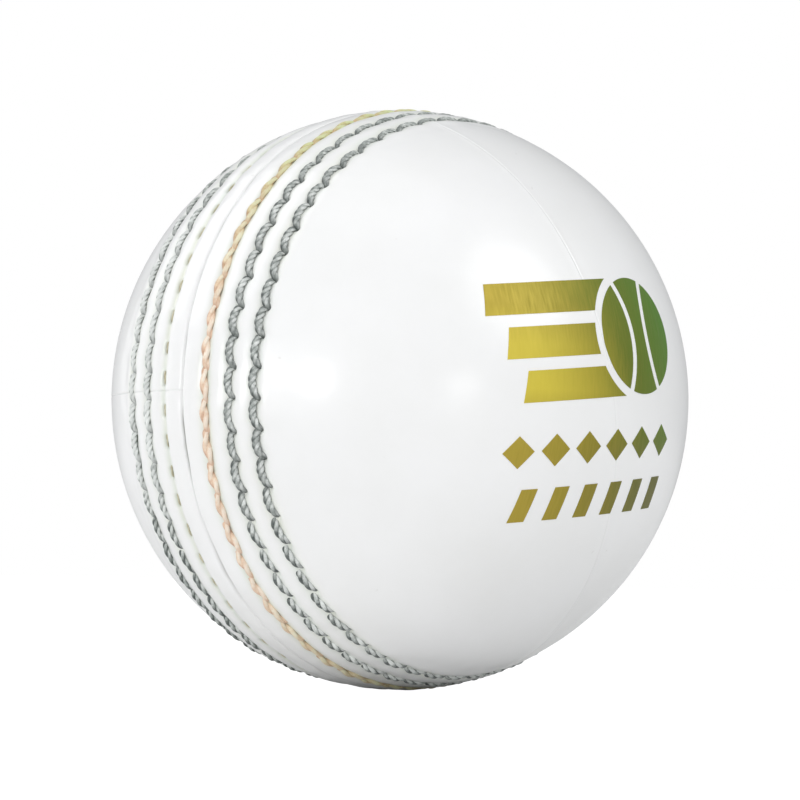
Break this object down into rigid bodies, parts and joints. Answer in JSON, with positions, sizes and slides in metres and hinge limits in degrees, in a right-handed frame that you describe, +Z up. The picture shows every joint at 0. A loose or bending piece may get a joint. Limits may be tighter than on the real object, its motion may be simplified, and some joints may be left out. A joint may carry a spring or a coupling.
{
  "type": "cricket ball",
  "caption": "White leather cricket ball with a raised stitched seam of grey and tan threads, a wound cork and yarn core, and a gold-green foil badge.",
  "frame": {"origin": "centre of the ball, where the seam's axis meets the plane of the join", "axes": "+X along the seam's axis, out through the middle of the foil badge; the join lies in the YZ plane; +Z up"},
  "size_m": [0.0721, 0.0724, 0.0724],
  "materials": {
    "cork_rubber": "moulded granules of cork in rubber, matt",
    "cork": "raw cork sheet, matt",
    "wound_yarn": "tight worsted yarn",
    "lining_leather": "thin undyed split leather, matt",
    "cover_leather": "white pigmented hide under glossy lacquer",
    "grey_thread": "two-ply waxed thread, dark grey-green with light strands",
    "tan_thread": "two-ply waxed linen thread, tan",
    "linen_thread": "undyed waxed linen thread",
    "foil": "hot-pressed metallic foil, gold turning green"
  },
  "bodies": {
    "root": {"core_nucleus": "cork_rubber", "cork_layer_1": "cork", "yarn_winding_1": "wound_yarn", "cork_layer_2": "cork", "yarn_winding_2": "wound_yarn", "cork_layer_3": "cork", "yarn_winding_3": "wound_yarn", "cork_layer_4": "cork", "yarn_winding_4": "wound_yarn", "cup_lining_left": "lining_leather", "quarter_seam_thread_left": "linen_thread", "cup_lining_right": "lining_leather", "quarter_seam_thread_right": "linen_thread", "leather_quarter_left_upper": "cover_leather", "leather_quarter_left_lower": "cover_leather", "leather_quarter_right_front": "cover_leather", "leather_quarter_right_back": "cover_leather", "closing_thread": "tan_thread", "needle_thread_left_outer": "grey_thread", "bobbin_thread_left_outer": "linen_thread", "needle_thread_left_inner": "grey_thread", "bobbin_thread_left_inner": "linen_thread", "needle_thread_right_inner": "grey_thread", "bobbin_thread_right_inner": "linen_thread", "needle_thread_right_outer": "grey_thread", "bobbin_thread_right_outer": "linen_thread", "foil_badge": "foil", "foil_upper_marks": "foil", "foil_lower_marks": "foil"}
  },
  "joints": []
}
